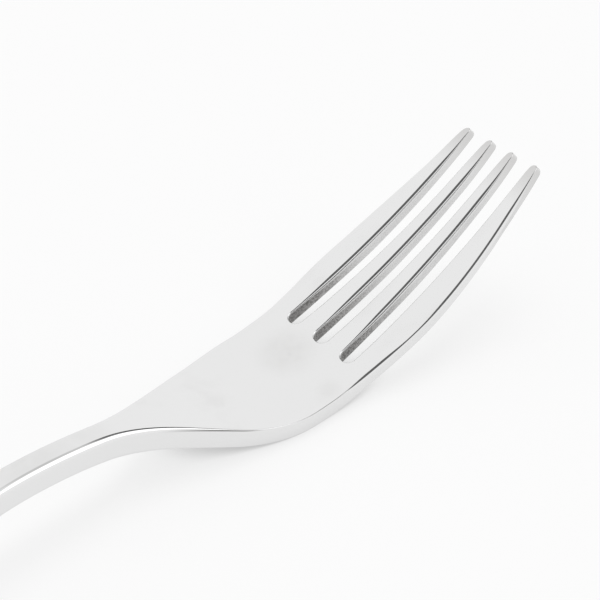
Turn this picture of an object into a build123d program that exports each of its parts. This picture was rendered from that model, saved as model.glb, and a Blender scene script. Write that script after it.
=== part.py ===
from build123d import *
import math
import os

# A dinner fork lying face up on a table. Millimetres, +X along the fork towards the tines,
# +Y to its left, +Z up. The table is Z = 0 and X = 0 is half way along the fork.
# Every place along the fork is given as its distance from the upper edge of the tine tips.

length = 204.0
stem_end = 116.0          # where the forged stem meets the handle's mouth

# side view of the upper face, a chain of tangent arcs
belly = 55.0              # the lowest place
belly_radius_front = 41.0
belly_angle_front = 15.7
tine_radius = 150.0
belly_radius_back = 33.0
neck_angle = 22.0
neck_straight = 7.5
crest_radius = 78.0

# thickness, square to the upper face
tip_thickness = 2.3
palm_thickness = 3.0
neck_thickness = 4.95
handle_thickness = 6.6
end_thickness = 4.6

# plan view
head_width = 25.2
widest = 30.0
tip_span = 16.9           # across the outer tines at the tips
tip_sweep = 1.64          # power of the curve from the widest place to the tips
shoulder_width = 23.4
shoulder = 54.0
neck_width = 4.75
neck = 88.0
neck_length = 12.0
handle_width = 17.6
handle_end_round = 18.0   # length of the half ellipse round the handle's end
end_flat_share = 0.17     # width of the flat at the very end, as a share of the handle's

# tines and slots
slot_depth = 43.8
middle_slot = 3.06
side_slot = 2.86
side_slot_mouth = 3.56
inner_tine = 3.64
inner_tine_tip = 1.94
tip_round_share = 0.55    # radius of a tine's end, as a share of its width there

# bevels along the long edges
head_bevel = 0.5
neck_bevel = 0.62
handle_bevel = 1.9

# hollow handle
wall = 0.9
foot_trim = 0.12          # ground off under the handle's end so that it lies flat

# tang inside the handle
tang_length = 42.0
tang_width = 2.2
tang_height = 1.9
tang_end_share = 0.7
notch_length = 3.0
notch_depth = 0.35
notch_pitch = 9.0
notch_count = 3

head_section_count = 30
handle_section_count = 16
end_section_count = 7

swell_start = neck + neck_length
overlap = 1.0             # how far a cutter reaches past what it cuts

# the tine ends are square to the tines, so their lower edges reach past the upper ones
front_run = belly_radius_front * math.sin(math.radians(belly_angle_front))
tip_angle = math.asin(math.sin(math.radians(belly_angle_front)) + (belly - front_run) / tine_radius)
tip_reach = tip_thickness * math.sin(tip_angle)
tip_x = length / 2 - tip_reach
end = length - tip_reach
handle_widest = end - handle_end_round


def smooth(start, end, s):
    """0 before start, 1 after end and an S-curve between them."""
    u = min(max((s - start) / (end - start), 0.0), 1.0)
    return u * u * (3 - 2 * u)


def arc_rise(radius, angle, run):
    """Height gained over a run along an arc that starts at a slope angle. A negative radius
    bends downwards."""
    return radius * (math.cos(angle) - math.sqrt(1 - (math.sin(angle) + run / radius) ** 2))


def tine_rise(run):
    """Height of the upper face over the belly, at a run from it towards the tips."""
    rise = arc_rise(belly_radius_front, 0.0, min(run, front_run))
    return rise + arc_rise(tine_radius, math.radians(belly_angle_front), max(run - front_run, 0.0))


def stem_rise(run):
    """Height of the upper face over the belly, at a run from it towards the handle's end."""
    angle = math.radians(neck_angle)
    hollow = belly_radius_back * math.sin(angle)
    climb = hollow + neck_straight
    crest = climb + crest_radius * math.sin(angle)
    rise = arc_rise(belly_radius_back, 0.0, min(run, hollow))
    rise += math.tan(angle) * min(max(run - hollow, 0.0), neck_straight)
    rise += arc_rise(-crest_radius, angle, min(max(run - climb, 0.0), crest - climb))
    if run <= crest:
        return rise
    rest = handle_widest - belly - crest
    drop = rise + palm_thickness + foot_trim - handle_thickness
    fall = 2 * math.atan(drop / rest)
    over = crest_radius * math.sin(fall)
    past = min(run - crest, rest)
    handle_radius = rest / math.sin(fall) - crest_radius
    rise += arc_rise(-crest_radius, 0.0, min(past, over))
    return rise + arc_rise(handle_radius, -fall, max(past - over, 0.0))


def end_loss(s):
    """Thickness lost round the handle's end."""
    return (handle_thickness - end_thickness) * smooth(handle_widest, end, s)


def top(s):
    rise = tine_rise(belly - s) if s <= belly else stem_rise(s - belly)
    return palm_thickness + rise - end_loss(s) / 2


def tilt(s):
    """Upright thickness over the thickness square to the upper face."""
    step = 0.05
    return math.hypot(1, (top(s + step) - top(s - step)) / (2 * step)) if s < end - step else 1.0


def end_share(s, inset):
    """1 along the handle, falling as an ellipse round its end."""
    reach = handle_end_round / math.sqrt(1 - end_flat_share ** 2) - inset
    return math.sqrt(1 - (max(s - handle_widest, 0.0) / reach) ** 2)


def thickness(s):
    size = palm_thickness - (palm_thickness - tip_thickness) * max(1 - s / belly, 0.0) ** 2
    size += (neck_thickness - palm_thickness) * smooth(belly, neck, s)
    size += (handle_thickness - neck_thickness) * smooth(swell_start, handle_widest, s)
    return size - end_loss(s)


def half_width(s):
    if s < widest:
        return head_width / 2 - (head_width - tip_span) / 2 * (1 - s / widest) ** tip_sweep
    size = head_width / 2 - (head_width - shoulder_width) / 2 * smooth(widest, shoulder, s)
    size -= (shoulder_width - neck_width) / 2 * smooth(shoulder, neck, s)
    return size + (handle_width - neck_width) / 2 * smooth(swell_start, handle_widest, s)


def bevel(s):
    size = head_bevel + (neck_bevel - head_bevel) * smooth(shoulder, neck, s)
    return size + (handle_bevel - neck_bevel) * smooth(swell_start, handle_widest, s)


def section(s, inset=0.0):
    """Bevelled cross section of the fork, or of the space a wall's thickness inside it."""
    x = tip_x - s
    share = end_share(s, inset)
    w = (half_width(s) - inset) * share
    b = (bevel(s) - inset * math.tan(math.pi / 8)) * share
    high = top(s) - inset * tilt(s)
    low = top(s) - (thickness(s) - inset) * tilt(s)
    right = [(x, -w + b, low), (x, -w, low + b), (x, -w, high - b), (x, -w + b, high)]
    left = [(x, -y, z) for x, y, z in reversed(right)]
    return make_face(Polyline(*right, *left, close=True))


def spread(start, end, count):
    return [start + (end - start) * i / (count - 1) for i in range(count)]


def handle_stations(end):
    """Places for cross sections, closer together round the handle's end."""
    turns = [math.sin(angle) for angle in spread(0.0, math.pi / 2, end_section_count)]
    around = [handle_widest + (end - handle_widest) * turn for turn in turns[1:]]
    return spread(stem_end, handle_widest, handle_section_count) + around


def slot(inner_root, outer_root, inner_tip, outer_tip):
    """Space between two tines, with a round root, standing through the head."""
    root_x = tip_x - slot_depth
    arc_x = root_x + (outer_root - inner_root) / 2
    reach = tip_reach + overlap
    grow = 1 + reach / (tip_x - arc_x)
    inner_mouth = inner_root + (inner_tip - inner_root) * grow
    outer_mouth = outer_root + (outer_tip - outer_root) * grow
    mouth_x = tip_x + reach
    outline = [
        Line((mouth_x, inner_mouth), (arc_x, inner_root)),
        ThreePointArc((arc_x, inner_root), (root_x, (inner_root + outer_root) / 2), (arc_x, outer_root)),
        Line((arc_x, outer_root), (mouth_x, outer_mouth)),
        Line((mouth_x, outer_mouth), (mouth_x, inner_mouth)),
    ]
    return extrude(make_face(outline), top(-reach) + overlap)


def tang():
    """Notched peg behind the stem, along the middle of the handle."""
    rings = []
    for s, share in ((stem_end - overlap, 1.0), (stem_end + tang_length, tang_end_share)):
        middle = top(s) - thickness(s) * tilt(s) / 2
        plane = Plane(origin=(tip_x - s, 0, middle), x_dir=(0, 1, 0), z_dir=(-1, 0, 0))
        rings.append(plane * Rectangle(tang_width * share, tang_height * share))
    peg = loft(rings)
    for i in range(notch_count):
        s = stem_end + tang_length - notch_pitch * (i + 0.5)
        flank = tang_width / 2 * (1 - (1 - tang_end_share) * (s - stem_end) / tang_length)
        notch = Pos(tip_x - s, flank, top(s)) * Box(notch_length, 2 * notch_depth, 2 * handle_thickness)
        peg = peg - notch - mirror(notch, Plane.XZ)
    return peg


def slot_rims(head):
    """Edges where the slots break through the upper and lower faces."""
    flat = head.faces().filter_by(GeomType.PLANE)
    flanks = flat.filter_by(lambda face: abs(face.normal_at().Y) > abs(face.normal_at().X))
    edges = [edge for face in flanks + head.faces().filter_by(GeomType.CYLINDER) for edge in face.edges()]
    return [edge for edge in edges if abs((edge % 0.5).Z) < max(abs((edge % 0.5).X), abs((edge % 0.5).Y))]


def tip_round(inner, outer):
    """What is ground off one tine, square to it, to leave its end round."""
    radius = tip_round_share * (outer - inner)
    height = 4 * tip_thickness
    along = Vector(math.cos(tip_angle), 0, math.sin(tip_angle))
    centre = Vector(tip_x, (inner + outer) / 2, top(0.0)) - along * radius
    plane = Plane(origin=centre, x_dir=along, z_dir=(-math.sin(tip_angle), 0, math.cos(tip_angle)))
    size = radius + 2 * (tip_reach + overlap)
    block = Box(size, 4 * radius, height, align=(Align.MIN, Align.CENTER, Align.CENTER))
    return plane * (block - Cylinder(radius, height))


def fork_head():
    head = loft([section(s) for s in spread(-tip_reach - overlap, stem_end, head_section_count)])
    half = middle_slot / 2
    edge = half + inner_tine
    edge_tip = half + inner_tine_tip
    outer_tip = edge_tip + side_slot_mouth
    side = slot(edge, edge + side_slot, edge_tip, outer_tip)
    head = head - slot(-half, half, -half, half) - side - mirror(side, Plane.XZ)
    head = chamfer(slot_rims(head), head_bevel)
    for grind in (tip_round(half, edge_tip), tip_round(outer_tip, tip_span / 2)):
        head = head - grind - mirror(grind, Plane.XZ)
    return head + tang()


def handle_space(inset):
    return loft([section(s, inset) for s in handle_stations(end - inset)])


def above_seam():
    """Everything over the seam half way up the handle's sides."""
    line = [(tip_x - s, top(s) - thickness(s) * tilt(s) / 2) for s in handle_stations(end)]
    ceiling = top(stem_end) + handle_thickness
    outline = [
        Spline(*line),
        Line(line[-1], (line[-1][0], ceiling)),
        Line((line[-1][0], ceiling), (tip_x - stem_end, ceiling)),
        Line((tip_x - stem_end, ceiling), line[0]),
    ]
    return extrude(Plane.XZ * make_face(outline), handle_width, both=True)


def handle_shell():
    return handle_space(0.0) - handle_space(wall)


def handle_front():
    return handle_shell() & above_seam()


def handle_back():
    """Lower half shell, ground flat where it lies on the table."""
    table = Box(2 * length, 2 * handle_width, handle_thickness, align=(Align.CENTER, Align.CENTER, Align.MAX))
    return handle_shell() - above_seam() - table


def handle_core():
    return handle_space(wall) - tang()


os.makedirs("parts", exist_ok=True)
for piece in (fork_head, handle_front, handle_back, handle_core):
    export_step(piece(), f"parts/{piece.__name__}.step")
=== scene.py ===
import math

import bpy
import numpy as np
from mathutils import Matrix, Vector
from mathutils.geometry import delaunay_2d_cdt


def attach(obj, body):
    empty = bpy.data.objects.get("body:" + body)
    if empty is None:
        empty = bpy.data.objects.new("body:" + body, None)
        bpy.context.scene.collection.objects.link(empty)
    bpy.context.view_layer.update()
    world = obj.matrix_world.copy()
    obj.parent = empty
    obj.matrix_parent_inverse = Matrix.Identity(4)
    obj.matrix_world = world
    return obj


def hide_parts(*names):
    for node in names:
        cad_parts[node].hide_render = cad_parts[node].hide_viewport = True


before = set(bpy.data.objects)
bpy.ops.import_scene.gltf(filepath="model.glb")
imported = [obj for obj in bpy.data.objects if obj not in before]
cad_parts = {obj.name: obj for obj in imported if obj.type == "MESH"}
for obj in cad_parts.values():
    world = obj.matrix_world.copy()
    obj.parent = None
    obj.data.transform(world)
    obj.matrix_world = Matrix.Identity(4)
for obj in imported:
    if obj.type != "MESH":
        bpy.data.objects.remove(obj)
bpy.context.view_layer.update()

# Fork head: four tapered tines, the palm, the neck and the stem in one piece of stainless steel.
# It is forged, bent to its curve in a die and buffed until its edges are round. Places along the
# fork are distances from the tine tips, in metres.

length = 0.204
stem_end = 0.116          # where the stem meets the handle's mouth

# side view of the upper face, a chain of tangent arcs
belly = 0.055             # the lowest place
belly_radius_front = 0.041
belly_angle_front = math.radians(15.7)
tine_radius = 0.150
belly_radius_back = 0.033
neck_angle = math.radians(22.0)
neck_straight = 0.0075
crest_radius = 0.078

# thickness, square to the upper face
tip_thickness = 0.0023
palm_thickness = 0.0030
neck_thickness = 0.00495
handle_thickness = 0.0066
end_thickness = 0.0046
foot_trim = 0.00012       # ground off under the handle's end so that it lies flat

# plan view
head_width = 0.0252
widest = 0.030
tip_span = 0.0169         # across the outer tines at the tips
tip_sweep = 1.64          # power of the curve from the widest place to the tips
shoulder_width = 0.0234
shoulder = 0.054
neck_width = 0.00475
neck = 0.088
swell_start = 0.100       # where the stem begins to widen into the handle
handle_width = 0.0176
handle_end_round = 0.018  # length of the half ellipse round the handle's end

# tines and slots
slot_depth = 0.0438
middle_slot = 0.00306
side_slot = 0.00286
side_slot_mouth = 0.00356
inner_tine = 0.00364
inner_tine_tip = 0.00194


def smooth(start, end, place):
    """0 before start, 1 after end and an S-curve between them."""
    share = np.clip((place - start) / (end - start), 0, 1)
    return share * share * (3 - 2 * share)


def eased(place, first, *changes):
    """A size along the fork. It starts as first, and each change (from, to, size) turns it into
    another size between two places."""
    size, last = first, first
    for start, end, new in changes:
        size = size + (new - last) * smooth(start, end, place)
        last = new
    return size


def arc_rise(radius, angle, run):
    """Height gained over a run along an arc that starts at a slope angle. A negative radius bends
    downwards."""
    return radius * (np.cos(angle) - np.sqrt(1 - (np.sin(angle) + run / radius) ** 2))


# where the arcs meet, as runs from the belly, and the last arc, which brings the handle to the table
front_run = belly_radius_front * math.sin(belly_angle_front)
tip_sine = math.sin(belly_angle_front) + (belly - front_run) / tine_radius
tip_reach = tip_thickness * tip_sine      # the tine ends are square to the tines
tip_x = length / 2 - tip_reach
end = length - tip_reach
handle_widest = end - handle_end_round
hollow = belly_radius_back * math.sin(neck_angle)
climb = hollow + neck_straight
crest = climb + crest_radius * math.sin(neck_angle)
arcs_rise = (belly_radius_back + crest_radius) * (1 - math.cos(neck_angle))
crest_height = palm_thickness + arcs_rise + neck_straight * math.tan(neck_angle)
fall_run = handle_widest - belly - crest
fall = 2 * math.atan((crest_height + foot_trim - handle_thickness) / fall_run)
over = crest_radius * math.sin(fall)
handle_radius = fall_run / math.sin(fall) - crest_radius


def end_loss(place):
    """Thickness lost round the handle's end."""
    return (handle_thickness - end_thickness) * smooth(handle_widest, end, place)


def upper(place):
    """Height of the fork's upper face: tines, belly, hollow, neck, crest and handle."""
    ahead, back = belly - place, place - belly
    rise = arc_rise(belly_radius_front, 0, np.clip(ahead, 0, front_run))
    rise = rise + arc_rise(tine_radius, belly_angle_front, np.maximum(ahead - front_run, 0))
    rise = rise + arc_rise(belly_radius_back, 0, np.clip(back, 0, hollow))
    rise = rise + math.tan(neck_angle) * np.clip(back - hollow, 0, neck_straight)
    rise = rise + arc_rise(-crest_radius, neck_angle, np.clip(back - climb, 0, crest - climb))
    rise = rise + arc_rise(-crest_radius, 0, np.clip(back - crest, 0, over))
    rise = rise + arc_rise(handle_radius, -fall, np.clip(back - crest - over, 0, fall_run - over))
    return palm_thickness + rise - end_loss(place) / 2


def slope(face, place):
    """Height that a face gains for each unit towards the handle's end."""
    step = 2e-5
    return (face(place + step) - face(place - step)) / (2 * step)


def tilt(place):
    """Upright thickness over the thickness square to the upper face."""
    return np.hypot(1, slope(upper, place))


def thickness(place):
    """Thickness of the fork, square to its upper face."""
    size = eased(
        place, palm_thickness,
        (belly, neck, neck_thickness),
        (swell_start, handle_widest, handle_thickness),
    )
    taper = (palm_thickness - tip_thickness) * np.maximum(1 - place / belly, 0) ** 2
    return size - taper - end_loss(place)


def lower(place):
    """Height of the fork's lower face."""
    return upper(place) - thickness(place) * tilt(place)


nose_run = 0.0022         # how far back the buffing rolls a tine's upper face over
nose_drop = 0.00035


def tine_upper(place):
    """Upper face of the head, rolled over at the tine tips."""
    return upper(place) - nose_drop * (1 - np.clip(place / nose_run, 0, 1)) ** 2


def half_width(place):
    """Half the fork's width, without the round of the handle's end."""
    size = eased(
        place, head_width / 2,
        (widest, shoulder, shoulder_width / 2),
        (shoulder, neck, neck_width / 2),
        (swell_start, handle_widest, handle_width / 2),
    )
    return size - (head_width - tip_span) / 2 * np.maximum(1 - place / widest, 0) ** tip_sweep


tip_taper = 0.0008        # how far back a tine's round end reaches
draw_run = 0.009          # over which the tines' sides draw in towards the tips
inner_draw = 0.00045
outer_draw = 0.00025
outline_step = 0.0006
mouth_step = 0.0001       # an outline's first step away from the handle's mouth
tip_points = 11           # in a quarter of a tine's round end
root_points = 17          # in the half circle of a slot's root


def head_outline():
    """Plan of the head, from the stem's left side round the tines to its right side."""
    half = middle_slot / 2
    inner_root = half + inner_tine
    side_arc = slot_depth - side_slot / 2
    middle_arc = slot_depth - half

    def draw(place):
        return np.maximum(1 - place / draw_run, 0) ** 2

    def side_inner(place):
        narrowing = (inner_tine - inner_tine_tip) * (1 - place / side_arc)
        return inner_root - narrowing - inner_draw * draw(place)

    def side_outer(place):
        mouth = half + inner_tine_tip + side_slot_mouth
        return mouth + (inner_root + side_slot - mouth) * place / side_arc + outer_draw * draw(place)

    def middle(place):
        return half + inner_draw * draw(place)

    def tip(outside, inside):
        """Round end of a tine, from its outer side to its inner side."""
        quarter = np.linspace(0, math.pi / 2, tip_points)
        turns = np.concatenate([quarter[:0:-1], -quarter])
        place = tip_taper * (1 - np.cos(turns))
        centre, spread = (outside(place) + inside(place)) / 2, (outside(place) - inside(place)) / 2
        return np.column_stack([place, centre + spread * np.sin(turns)])

    def along(side, start, end):
        """Points between two places on a side."""
        place = np.linspace(start, end, max(3, int(abs(end - start) / outline_step)))[1:-1]
        return np.column_stack([place, side(place)])

    def root(place, centre, radius, last_turn, count):
        """Round root of a slot, from its outer side to the last turn."""
        turns = np.linspace(math.pi / 2, last_turn, count)
        return np.column_stack([place + radius * np.cos(turns), centre + radius * np.sin(turns)])

    before_mouth = stem_end - mouth_step
    left = np.concatenate([
        [[stem_end, half_width(stem_end)], [before_mouth, half_width(before_mouth)]],
        along(half_width, before_mouth, tip_taper),
        tip(half_width, side_outer),
        along(side_outer, tip_taper, side_arc),
        root(side_arc, inner_root + side_slot / 2, side_slot / 2, -math.pi / 2, root_points),
        along(side_inner, side_arc, tip_taper),
        tip(side_inner, middle),
        along(middle, tip_taper, middle_arc),
        root(middle_arc, 0, half, 0, (root_points + 1) // 2),
    ])
    right = left[-2::-1] * (1, -1)
    return np.concatenate([left, right]) * (-1, 1) + (tip_x, 0)


def outward(plan):
    """Sideways directions out of a plan that runs with its outside on the left."""
    run = np.gradient(plan, axis=0)
    out = np.column_stack([-run[:, 1], run[:, 0]])
    out[0] = (0, np.sign(plan[0, 1]))
    out[-1] = (0, np.sign(plan[-1, 1]))
    return out / np.linalg.norm(out, axis=1)[:, None]


# radius that buffing leaves on the edges: at the tips, then (from, to, radius) along the fork
tip_rounding = 0.00015
tine_rounding = (0.0, 0.0095, 0.00078)
palm_rounding = (0.043, 0.050, 0.00012)
stem_rounding = (0.064, 0.094, 0.00130)
handle_rounding = (swell_start, handle_widest, 0.00200)


def edge_radius(place):
    return eased(place, tip_rounding, tine_rounding, palm_rounding, stem_rounding, handle_rounding)


def lean(place):
    """How far a tine's end leans out for each unit of depth."""
    lean_run = 0.012
    return tip_sine * (1 - smooth(0, lean_run, place))


def square_to(face, place, up):
    """Directions square to a face, out of its upper side or its lower side."""
    rise = slope(face, place)
    return np.column_stack([rise, 0 * rise, 1 + 0 * rise]) * up / np.hypot(1, rise)[:, None]


joint_line = 0.00004      # how far the buffed joints sink below the faces beside them
wall_start = 0.0002       # from the end of an edge's rounding to the first ring of the wall
edge_turns = [math.radians(turn) for turn in (0, 11, 22, 33, 45, 57, 68, 79, 90)]
half_turn = math.radians(45)


def rounded_edge(plan, face, up, blunt=1.0, flat=None):
    """Rings from the rim of a face round its edge to the wall, with their directions. Blunt is a
    share of the edge's radius, and a flat is the leg of a bevel half way round the edge."""
    out = outward(plan)
    place = tip_x - plan[:, 0]
    radius = edge_radius(place) * blunt
    steps = [(turn, turn > half_turn, 0.0) for turn in edge_turns]
    steps.append((edge_turns[-1], True, wall_start))
    if flat is None:
        flat = np.zeros(len(place))
    else:
        steps.insert(edge_turns.index(half_turn) + 1, (half_turn, True, 0.0))
    sunk = np.zeros(len(place))
    sunk[0] = sunk[-1] = joint_line
    rings, directions = [], []
    for turn, past_flat, down in steps:
        inset = radius * (1 - math.sin(turn)) + flat * (1 - past_flat) + sunk
        drop = radius * (1 - math.cos(turn)) + flat * past_flat + sunk * math.cos(turn) + down
        x, y = (plan - inset[:, None] * out).T
        x = x + lean(place) * (drop if up > 0 else thickness(place) - drop)
        at = tip_x - x
        across = out[:, 0] * (tilt(at) + lean(place) * slope(upper, at))
        level = np.column_stack([across, out[:, 1] * tilt(at), out[:, 0] * lean(place)])
        level = level / np.linalg.norm(level, axis=1)[:, None]
        direction = square_to(face, at, up) * math.cos(turn) + level * math.sin(turn)
        rings.append(np.column_stack([x, y, face(at) - up * drop * tilt(at)]))
        directions.append(direction / np.linalg.norm(direction, axis=1)[:, None])
    return rings, directions


def fill(rim, spacing):
    """Triangles over a closed plan, with points inside it: (inside points, triangles)."""
    ahead = np.roll(rim, -1, axis=0)
    inside = []
    for x in np.arange(rim[:, 0].min() + spacing / 2, rim[:, 0].max(), spacing):
        cut = (rim[:, 0] < x) != (ahead[:, 0] < x)
        share = (x - rim[cut, 0]) / (ahead[cut, 0] - rim[cut, 0])
        ys = np.sort(rim[cut, 1] + share * (ahead[cut, 1] - rim[cut, 1]))
        for low, high in zip(ys[::2], ys[1::2]):
            count = int((high - low) / spacing)
            inside += [(x, low + (high - low) * (k + 1) / (count + 1)) for k in range(count)]
    points = [Vector(p) for p in rim] + [Vector(p) for p in inside]
    loop = list(range(len(rim)))[::-1]
    inside_only, merge_distance = 1, 1e-8
    made = delaunay_2d_cdt(points, [], [loop], inside_only, merge_distance)
    triangles, source = made[2], [origin[0] for origin in made[3]]
    return np.array(inside).reshape(-1, 2), [[source[v] for v in triangle] for triangle in triangles]


def put_in_scene(name, data):
    piece = bpy.data.objects.new(name, data)
    bpy.context.scene.collection.objects.link(piece)
    return piece


def skin(name, rings, directions, first_face, last_face, spacing):
    """Closed mesh through rings that run from one face's rim to the other's, with a flat end at the
    handle's mouth."""
    count, around = len(rings), len(rings[0])
    verts, normals, faces = list(np.concatenate(rings)), list(np.concatenate(directions)), []
    for k in range(count - 1):
        a, b = k * around, (k + 1) * around
        faces += [(a + i, a + i + 1, b + i + 1, b + i) for i in range(around - 1)]
    for k, face, up in ((0, first_face, 1), (count - 1, last_face, -1)):
        inside, triangles = fill(rings[k][:, :2], spacing)
        at = tip_x - inside[:, 0]
        start = len(verts)
        verts += list(np.column_stack([inside, face(at)]))
        normals += list(square_to(face, at, up))
        index = [k * around + i for i in range(around)] + list(range(start, start + len(inside)))
        faces += [[index[v] for v in triangle][::up] for triangle in triangles]
    mouth = [k * around for k in range(count)] + [k * around + around - 1 for k in range(count)][::-1]
    faces.append(mouth)
    mesh = bpy.data.meshes.new(name)
    mesh.from_pydata([tuple(v) for v in verts], [], [list(f) for f in faces])
    mesh.shade_smooth()
    corners = [normals[loop.vertex_index] for loop in mesh.loops]
    for corner in mesh.polygons[-1].loop_indices:
        corners[corner] = mesh.polygons[-1].normal
    mesh.normals_split_custom_set([tuple(c) for c in corners])
    return put_in_scene(name, mesh)


# where an edge is keener than the buffing elsewhere leaves it: (from, to, share of the radius lost)
keener_root = (0.032, 0.042, 0.65)
keener_side = ((0.025, 0.033, 0.45), (0.034, 0.040, 0.0))
keener_left = 0.5         # on the tines' left edges in the slots
left_start = 0.4          # how far an edge faces left before it counts as one
keener_below = 0.75       # on the slots' lower edges, where it ends before the roots
keener_below_end = (0.022, 0.036, 0.0)
side_margin = 0.0005      # an edge further in than this from the outer sides is in a slot
face_spacing = 0.0009

plan = head_outline()
place = tip_x - plan[:, 0]
in_slot = np.abs(plan[:, 1]) < half_width(place) - side_margin
faces_left = np.clip((outward(plan)[:, 1] - left_start) / (1 - left_start), 0, 1)
keener_slot = np.maximum(eased(place, 0.0, keener_root), keener_left * faces_left)
blunt_above = 1 - np.where(in_slot, keener_slot, eased(place, 0.0, *keener_side))
blunt_below = 1 - in_slot * eased(place, keener_below, keener_below_end)
above, above_out = rounded_edge(plan, tine_upper, 1, blunt_above)
below, below_out = rounded_edge(plan, lower, -1, blunt_below)
head_rings, head_out = above + below[::-1], above_out + below_out[::-1]
head = skin("fork_head_buffed", head_rings, head_out, tine_upper, lower, face_spacing)


def mark_edges(name, upper_shares, lower_shares, along):
    """Stores how strongly a mark shows on each ring of the head, times how it runs along the outline."""
    shares = np.concatenate([upper_shares, lower_shares[::-1]])
    values = np.zeros(len(head.data.vertices))
    values[:len(shares) * len(along)] = np.outer(shares, along).ravel()
    head.data.attributes.new(name, "FLOAT", "POINT").data.foreach_set("value", values)


# marks on the edges: darker walls in the slots, which near the roots are rough shear-cut steel that the
# wheel didn't reach together with painted shade standing for the shadow under the head, and which near
# the tips, on the outer sides too, are painted shade; satin walls in the slots; and two dark lines
# painted along the right edge, at the palm and behind it. Each has a share for every ring, from a face's
# rim to the wall, and (from, to, strength) along the fork.
no_ring = np.zeros(len(above))
every_ring = np.ones(len(above))
sheared_shade_above = np.array([0, 0, 0, 0, 0, 0, 0, 0, 0.4, 1])
sheared_shade_below = np.array([0, 0, 0.3, 0.6, 0.8, 1, 1, 1, 1, 1])
sheared_shade_slot = ((-0.002, 0.010, 0.28), (0.022, 0.038, 1.0))
tip_shade_side = ((-0.002, 0.008, 0.28), (0.008, 0.020, 0.0))
satin_above = np.array([0, 0, 0, 0, 0, 0.5, 1, 1, 1, 1])
satin_slot = ((0.004, 0.012, 1.0), (0.018, 0.026, 0.0), (0.035, 0.041, 1.0))
back_edge_line_above = np.array([0, 0, 0, 0, 0, 0.3, 0.8, 1, 1, 0])
back_edge_line_run = ((0.063, 0.067, 1.0), (0.069, 0.080, 0.0))
hairline_above = np.array([0, 0.7, 1, 1, 1, 0.5, 0, 0, 0, 0])
hairline_run = ((0.047, 0.050, 0.85), (0.052, 0.062, 0.0))

right_side = plan[:, 1] < 0
sheared_shade_along = np.where(in_slot, eased(place, 0.0, *sheared_shade_slot), eased(place, 0.0, *tip_shade_side))
mark_edges("sheared_and_shade", sheared_shade_above, sheared_shade_below, sheared_shade_along)
mark_edges("satin", satin_above, every_ring, in_slot * eased(place, 0.0, *satin_slot))
mark_edges("back_edge_line", back_edge_line_above, no_ring, right_side * eased(place, 0.0, *back_edge_line_run))
mark_edges("hairline", hairline_above, no_ring, right_side * eased(place, 0.0, *hairline_run))


def add_node(tree, kind, inputs=(), **settings):
    """A new node, with values or links on its inputs."""
    node = tree.nodes.new("ShaderNode" + kind)
    for name, value in settings.items():
        setattr(node, name, value)
    for name, value in dict(inputs).items():
        if isinstance(value, bpy.types.NodeSocket):
            tree.links.new(value, node.inputs[name])
        else:
            node.inputs[name].default_value = value
    return node


def math_node(tree, operation, *values):
    return add_node(tree, "Math", dict(enumerate(values)), operation=operation).outputs[0]


def ramp(tree, value, start, end, low=0.0, high=1.0):
    """A value carried from start..end to low..high, with soft ends."""
    limits = {"Value": value, "From Min": start, "From Max": end, "To Min": low, "To Max": high}
    return add_node(tree, "MapRange", limits, interpolation_type="SMOOTHSTEP").outputs["Result"]


def noise(tree, position, scale, turn=0.0, detail=2.0):
    """Soft noise, stretched where its scale differs along X, Y and Z."""
    mapping = add_node(tree, "Mapping", {"Vector": position, "Rotation": (0, 0, turn), "Scale": scale})
    texture = {"Vector": mapping.outputs[0], "Scale": 1.0, "Detail": detail}
    return add_node(tree, "TexNoise", texture).outputs[0]


def even(scale):
    return (scale, scale, scale)


def mix_colour(tree, share, first, second):
    """Two colours mixed. A Mix node has its colours on inputs 6 and 7 and on output 2."""
    return add_node(tree, "Mix", {0: share, 6: first, 7: second}, data_type="RGBA").outputs[2]


def new_material(name):
    """A material: itself, its tree and its shader."""
    material = bpy.data.materials.new(name)
    material.use_nodes = True
    return material, material.node_tree, material.node_tree.nodes["Principled BSDF"]


# what buffing and use leave on bright steel: dull patches, fine lines along the fork, stray scratches
patch_scale = (95, 130, 130)
patch_edge = (0.50, 0.74)
line_scale = (28, 5200, 5200)
line_edge = (0.3, 0.7)
line_height = 0.12
scratch_scale = (70, 420, 420)
scratch_width = 0.007
scratch_turns = (0.45, -0.75, 1.25)
scratched_scale = even(160)
scratched_edge = (0.56, 0.62)
buffed_roughness = 0.06
patch_roughness = 0.14
line_roughness = 0.035
scratch_roughness = 0.10

buffed_steel = bpy.data.node_groups.new("buffed_steel", "ShaderNodeTree")
for name in ("Haze", "Scratches"):
    buffed_steel.interface.new_socket(name, in_out="INPUT", socket_type="NodeSocketFloat")
for name in ("Dulling", "Roughness", "Height"):
    buffed_steel.interface.new_socket(name, in_out="OUTPUT", socket_type="NodeSocketFloat")
tree = buffed_steel
amount = tree.nodes.new("NodeGroupInput").outputs
made = tree.nodes.new("NodeGroupOutput").inputs
position = add_node(tree, "TexCoord").outputs["Object"]
patches = noise(tree, position, patch_scale, detail=4.0)
dulling = math_node(tree, "MULTIPLY", ramp(tree, patches, *patch_edge), amount["Haze"])
lines = noise(tree, position, line_scale)
scratches = None
for turn in scratch_turns:
    wander = noise(tree, position, scratch_scale, turn, detail=1.0)
    off = math_node(tree, "ABSOLUTE", math_node(tree, "SUBTRACT", wander, 0.5))
    here = ramp(tree, noise(tree, position, scratched_scale, turn), *scratched_edge)
    mark = math_node(tree, "MULTIPLY", ramp(tree, off, 0.0, scratch_width, 1.0, 0.0), here)
    scratches = mark if scratches is None else math_node(tree, "MAXIMUM", scratches, mark)
scratches = math_node(tree, "MULTIPLY", scratches, amount["Scratches"])
rough = math_node(tree, "MULTIPLY_ADD", dulling, patch_roughness, buffed_roughness)
rough = math_node(tree, "ADD", rough, ramp(tree, lines, *line_edge, 0.0, line_roughness))
rough = math_node(tree, "ADD", rough, math_node(tree, "MULTIPLY", scratches, scratch_roughness))
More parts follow.
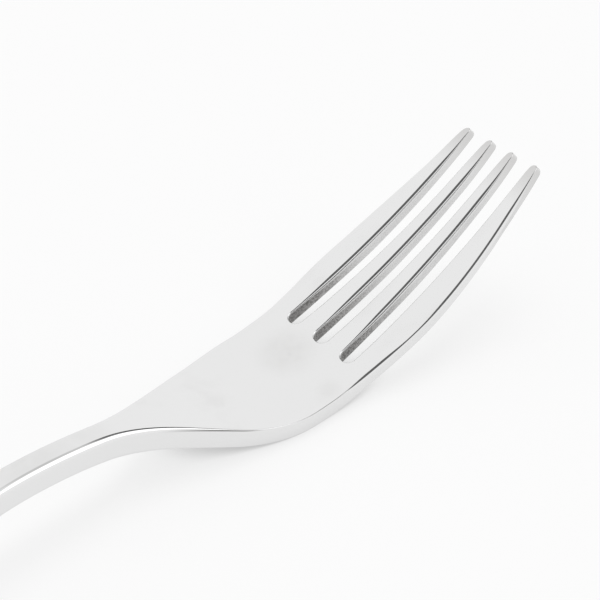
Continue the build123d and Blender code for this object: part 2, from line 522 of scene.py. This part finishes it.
height = math_node(tree, "SUBTRACT", math_node(tree, "MULTIPLY", lines, line_height), scratches)
tree.links.new(dulling, made["Dulling"])
tree.links.new(rough, made["Roughness"])
tree.links.new(height, made["Height"])

steel_colour = (0.805, 0.805, 0.805, 1)
dulled_colour = (0.735, 0.733, 0.73, 1)
mark_strength = 0.25
mark_height = 0.00001


def bright_steel(name, haze, scratched):
    """A material with the buffed steel's marks: itself, its tree, its shader and the marks."""
    material, tree, shader = new_material(name)
    shader.inputs["Metallic"].default_value = 1.0
    marks = add_node(tree, "Group", node_tree=buffed_steel)
    marks.inputs["Haze"].default_value = haze
    marks.inputs["Scratches"].default_value = scratched
    relief = {"Strength": mark_strength, "Distance": mark_height, "Height": marks.outputs["Height"]}
    tree.links.new(add_node(tree, "Bump", relief).outputs[0], shader.inputs["Normal"])
    return material, tree, shader, marks.outputs


# painted shade: the steel is made darker over the last part of each tine, towards the tips
tip_shade_colour = (0.65, 0.645, 0.64, 1)
tip_shade_run = 0.008
# colours of the darker walls: rough shear-cut steel, darkened further as painted shade of the shadow
# under the head near the roots, and painted shade near the tips
sheared_and_shade_colour = (0.42, 0.415, 0.41, 1)
speckled_shade_colour = (0.24, 0.235, 0.23, 1)
# dark colour painted in two lines along the right edge, at the palm and behind it
edge_line_colour = (0.12, 0.118, 0.115, 1)
sheared_roughness = 0.35
satin_roughness = 0.2
speckle_scale = even(2600)
speckle_edge = (0.45, 0.62)
blotch_scale = even(420)
blotch_edge = (0.35, 0.65)
blotch_least = 0.7
facing_up = (0.6, 0.9)    # upward part of the normal over which the dull marks come in
finger_core = 0.1         # share of a finger mark's radius at full strength
finger_marks = (          # distance from the tips, distance to the left, radius, strength
    (0.0487, 0.0022, 0.0070, 1.0),
    (0.0493, -0.0093, 0.0030, 0.7),
    (0.0900, 0.0006, 0.0060, 0.5),
    (0.0990, 0.0, 0.0120, 0.75),
)

head_steel, tree, shader, marks = bright_steel("head_steel", haze=0.5, scratched=0.5)
position = add_node(tree, "TexCoord").outputs["Object"]
dulling = marks["Dulling"]
for back, left, radius, strength in finger_marks:
    middle = (tip_x - back, left, upper(back))
    away = add_node(tree, "VectorMath", {0: position, 1: middle}, operation="DISTANCE").outputs["Value"]
    smudge = ramp(tree, away, finger_core * radius, radius, strength, 0.0)
    dulling = math_node(tree, "MAXIMUM", dulling, smudge)
blotches = ramp(tree, noise(tree, position, blotch_scale, detail=3.0), *blotch_edge, blotch_least, 1.0)
normal = add_node(tree, "NewGeometry").outputs["Normal"]
upright = ramp(tree, add_node(tree, "SeparateXYZ", {0: normal}).outputs["Z"], *facing_up)
dulling = math_node(tree, "MULTIPLY", dulling, math_node(tree, "MULTIPLY", blotches, upright))
# mask of the darker walls: rough shear-cut steel, with painted shade near the roots and near the tips
sheared_shade_mask = add_node(tree, "Attribute", attribute_name="sheared_and_shade").outputs["Fac"]
speckle = ramp(tree, noise(tree, position, speckle_scale, detail=3.0), *speckle_edge)
torn_and_shaded = mix_colour(tree, speckle, sheared_and_shade_colour, speckled_shade_colour)
colour = mix_colour(tree, sheared_shade_mask, mix_colour(tree, dulling, steel_colour, dulled_colour), torn_and_shaded)
along_fork = add_node(tree, "SeparateXYZ", {0: position}).outputs["X"]
# painted shade darkening the steel towards the tine tips
tip_shade = ramp(tree, along_fork, tip_x - tip_shade_run, tip_x)
colour = mix_colour(tree, tip_shade, colour, tip_shade_colour)
# two dark lines painted along the right edge
back_edge_line = add_node(tree, "Attribute", attribute_name="back_edge_line").outputs["Fac"]
hairline = add_node(tree, "Attribute", attribute_name="hairline").outputs["Fac"]
colour = mix_colour(tree, math_node(tree, "MAXIMUM", back_edge_line, hairline), colour, edge_line_colour)
tree.links.new(colour, shader.inputs["Base Color"])
satin = add_node(tree, "Attribute", attribute_name="satin").outputs["Fac"]
rough = math_node(tree, "MULTIPLY_ADD", satin, satin_roughness, marks["Roughness"])
rough = math_node(tree, "ADD", rough, ramp(tree, sheared_shade_mask, 0.0, 1.0, 0.0, sheared_roughness))
tree.links.new(rough, shader.inputs["Roughness"])
head.data.materials.append(head_steel)
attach(head, "root")
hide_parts("fork_head")

# Tang: the notched peg that the stem runs out into, inside the handle. It is forged in one with
# the head, and the cement round it grips its notches.

tang_length = 0.042
tang_width = 0.0022
tang_height = 0.0019
tang_end_share = 0.7
notch_length = 0.003
notch_depth = 0.00035
notch_pitch = 0.009
notch_count = 3
notch_slope = 0.0001


def seam(place):
    """Half way between the upper and lower faces, where the handle's halves meet."""
    return (upper(place) + lower(place)) / 2


def tang_ring(run, cut):
    """Corners of the tang at a run from the stem, with its sides cut back by a notch."""
    share = run / tang_length
    taper = 1 - (1 - tang_end_share) * share
    x = tip_x - stem_end - run
    y = tang_width / 2 * taper - cut
    middle = seam(stem_end) + (seam(stem_end + tang_length) - seam(stem_end)) * share
    z = tang_height / 2 * taper
    return [(x, -y, middle - z), (x, -y, middle + z), (x, y, middle + z), (x, y, middle - z)]


tang_rings = [tang_ring(0.0, 0.0)]
for i in reversed(range(notch_count)):
    centre = tang_length - notch_pitch * (i + 0.5)
    start, stop = centre - notch_length / 2, centre + notch_length / 2
    tang_rings += [tang_ring(start, 0.0), tang_ring(start + notch_slope, notch_depth)]
    tang_rings += [tang_ring(stop - notch_slope, notch_depth), tang_ring(stop, 0.0)]
tang_rings.append(tang_ring(tang_length, 0.0))

# both ends, and four sides between each ring and the next
corners = [corner for ring in tang_rings for corner in ring]
faces = [(3, 2, 1, 0), tuple(range(len(corners) - 4, len(corners)))]
for k in range(0, len(corners) - 4, 4):
    faces += [(k + i, k + (i + 1) % 4, k + 4 + (i + 1) % 4, k + 4 + i) for i in range(4)]
mesh = bpy.data.meshes.new("fork_head_tang")
mesh.from_pydata(corners, [], faces)
tang = put_in_scene("fork_head_tang", mesh)
tang.data.materials.append(head_steel)
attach(tang, "root")
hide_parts("fork_head")

# Handle: two half shells pressed from steel sheet and brazed edge to edge, so that a hairline
# seam runs half way up the sides and round the end. Their mouth closes on the forged stem.

wall = 0.0009
seam_groove = 0.00005
side_flat = 0.00073       # leg of the bevel along the handle's edges
end_flat = 0.00033        # the same at the handle's end
side_points = 80
end_points = 33           # in a quarter of the round end
shell_spacing = 0.003


def foot(place):
    """Lower face of the handle, ground flat where it lies on the table."""
    return np.maximum(lower(place), 0)


def handle_outline():
    """Plan of the handle, from the mouth's right side round the end to its left side."""
    place = np.concatenate([[stem_end], np.linspace(stem_end + mouth_step, handle_widest, side_points)])
    side = np.column_stack([place, -half_width(place)])
    turns = np.linspace(0, math.pi / 2, end_points)[1:]
    round_end = [handle_widest + handle_end_round * np.sin(turns), -handle_width / 2 * np.cos(turns)]
    right = np.concatenate([side, np.column_stack(round_end)])
    left = right[-2::-1] * (1, -1)
    return np.concatenate([right, left]) * (-1, 1) + (tip_x, 0)


def half_shell(name, face, up):
    """One half of the handle: its outer face, its rim on the seam and its hollow inside."""
    plan = handle_outline()
    out = outward(plan)
    place = tip_x - plan[:, 0]
    flat = eased(place, 0.0, (swell_start, handle_widest, side_flat), (handle_widest, end, end_flat))
    bevel = (2 - math.sqrt(2)) * edge_radius(place) + flat - wall * math.tan(math.pi / 8)
    sideways = np.column_stack([out, 0 * bevel])
    upright = np.tile((0, 0, up), (len(plan), 1))

    def inside(place):
        return face(place) - up * wall * tilt(place)

    def groove(place):
        return seam(place) + up * seam_groove

    def turn_in(place):
        return inside(place) - up * bevel

    rings, directions = rounded_edge(plan, face, up, flat=flat)
    for inset, level, direction in (
        (0, groove, sideways),
        (seam_groove, seam, (sideways - upright) / math.sqrt(2)),
        (wall, seam, -upright),
        (wall, turn_in, -sideways),
        (wall + bevel, inside, -upright),
    ):
        ring = plan - np.reshape(inset + 0 * bevel, (-1, 1)) * out
        rings.append(np.column_stack([ring, level(tip_x - ring[:, 0])]))
        directions.append(direction)
    if up > 0:
        return skin(name, rings, directions, face, inside, shell_spacing)
    return skin(name, rings[::-1], directions[::-1], inside, face, shell_spacing)


handle_steel, tree, shader, marks = bright_steel("handle_steel", haze=0.7, scratched=0.8)
colour = mix_colour(tree, marks["Dulling"], steel_colour, dulled_colour)
tree.links.new(colour, shader.inputs["Base Color"])
tree.links.new(marks["Roughness"], shader.inputs["Roughness"])
for node, face, up in (("handle_front", upper, 1), ("handle_back", foot, -1)):
    shell = half_shell(node + "_shell", face, up)
    shell.data.materials.append(handle_steel)
    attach(shell, "root")
    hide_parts(node)

# Core: cement poured into the hollow handle. It sets round the tang and holds head and handle
# together, and it fills the space that the shells leave.

sand_scale = even(1400)
sand_edge = (0.35, 0.7)
sand_strength = 0.6
sand_height = 0.0002
dark_cement = (0.36, 0.33, 0.29, 1)
pale_cement = (0.55, 0.52, 0.47, 1)

cement, tree, shader = new_material("cement")
shader.inputs["Roughness"].default_value = 0.95
sand = noise(tree, add_node(tree, "TexCoord").outputs["Object"], sand_scale, detail=5.0)
colour = mix_colour(tree, ramp(tree, sand, *sand_edge), dark_cement, pale_cement)
tree.links.new(colour, shader.inputs["Base Color"])
bump = add_node(tree, "Bump", {"Strength": sand_strength, "Distance": sand_height, "Height": sand})
tree.links.new(bump.outputs[0], shader.inputs["Normal"])
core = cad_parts["handle_core"]
core.data.materials.clear()
core.data.materials.append(cement)

# Table: a plain white sheet under the fork. The camera and the steel see it as white, and it keeps the
# fork's soft shadow. The darker line where the fork touches it is a painted shadow: the sheet's glow is
# dimmed where the fork comes near.

table_size = 4
table_grey = (0.24, 0.24, 0.24, 1)
table_glow = (0.72, 0.72, 0.72, 1)
touch_reach = 0.006       # how near the fork has to be to shade the table
touch_edge = (0.1, 0.6)
touch_shade = 0.58

bpy.ops.mesh.primitive_plane_add(size=table_size)
table = bpy.context.object
table.name = "table"
table_white, tree, shader = new_material("table_white")
shader.inputs["Base Color"].default_value = table_grey
shader.inputs["Roughness"].default_value = 0.9
shader.inputs["Specular IOR Level"].default_value = 0.0
shader.inputs["Emission Color"].default_value = table_glow
path = add_node(tree, "LightPath").outputs
seen = math_node(tree, "MAXIMUM", path["Is Camera Ray"], path["Is Glossy Ray"])
seen = math_node(tree, "MAXIMUM", seen, path["Is Transmission Ray"])
# painted shadow: the glow is dimmed where the fork comes near the table
open_sky = add_node(tree, "AmbientOcclusion", {"Distance": touch_reach}).outputs["AO"]
glow = math_node(tree, "MULTIPLY", seen, ramp(tree, open_sky, *touch_edge, touch_shade, 1.0))
tree.links.new(glow, shader.inputs["Emission Strength"])
table.data.materials.append(table_white)

# Light: a white tent round the fork. Three grey zones, two dark gaps and a bright panel in it give
# the steel its edge lines, and the camera sees plain white behind the table. A lamp that the steel
# doesn't show throws the soft shadow.

tent_level = 1.0
backdrop_white = 0.97
tent_patches = (          # azimuth, elevation, radius, softness in degrees, and level
    (145, 8, 22, 16, 0.6),
    (-170, 15, 34, 24, 0.45),
    (-105, 54, 28, 8, 0.13),
    (6, 39, 15, 6, 0.03),
    (4, 63, 12, 12, 0.7),
    (-47, 42, 20, 6, 1.6),
)


def mix_level(tree, share, first, second):
    """Two levels mixed. A Mix node has its plain numbers on inputs 2 and 3 and on output 0."""
    return add_node(tree, "Mix", {0: share, 2: first, 3: second}).outputs[0]


world = bpy.data.worlds.new("tent")
bpy.context.scene.world = world
world.use_nodes = True
tree = world.node_tree
towards = add_node(tree, "TexCoord").outputs["Generated"]
level = tent_level
for azimuth, elevation, radius, softness, brightness in tent_patches:
    a, e = math.radians(azimuth), math.radians(elevation)
    middle = (math.cos(e) * math.cos(a), math.cos(e) * math.sin(a), math.sin(e))
    near = add_node(tree, "VectorMath", {0: towards, 1: middle}, operation="DOT_PRODUCT").outputs["Value"]
    outside = math.cos(math.radians(radius + softness / 2))
    inside = math.cos(math.radians(radius - softness / 2))
    level = mix_level(tree, ramp(tree, near, outside, inside), level, brightness)
seen = add_node(tree, "LightPath").outputs["Is Camera Ray"]
level = mix_level(tree, seen, level, backdrop_white)
tree.links.new(level, tree.nodes["Background"].inputs["Color"])

lamp = put_in_scene("back_lamp", bpy.data.lights.new("back_lamp", "SUN"))
lamp.data.energy = 0.9
lamp.data.angle = math.radians(35)
lamp.rotation_euler = (0, math.radians(22), math.radians(40))
lamp.visible_glossy = False

# Camera: a long lens close to the fork, on the right of its stem. It looks down across the head at
# the photograph's angle.

camera_down = 0.700       # angle below level, in radians
camera_turn = 0.847       # angle from +X towards +Y, in radians

camera = put_in_scene("camera", bpy.data.cameras.new("camera"))
camera.location = (-0.06245, -0.13092, 0.16283)
camera.rotation_euler = (math.pi / 2 - camera_down, 0, camera_turn - math.pi / 2)
camera.data.sensor_width = 36
camera.data.lens = 84
camera.data.clip_start = 0.01
bpy.context.scene.camera = camera
bpy.context.scene.view_settings.view_transform = "Standard"
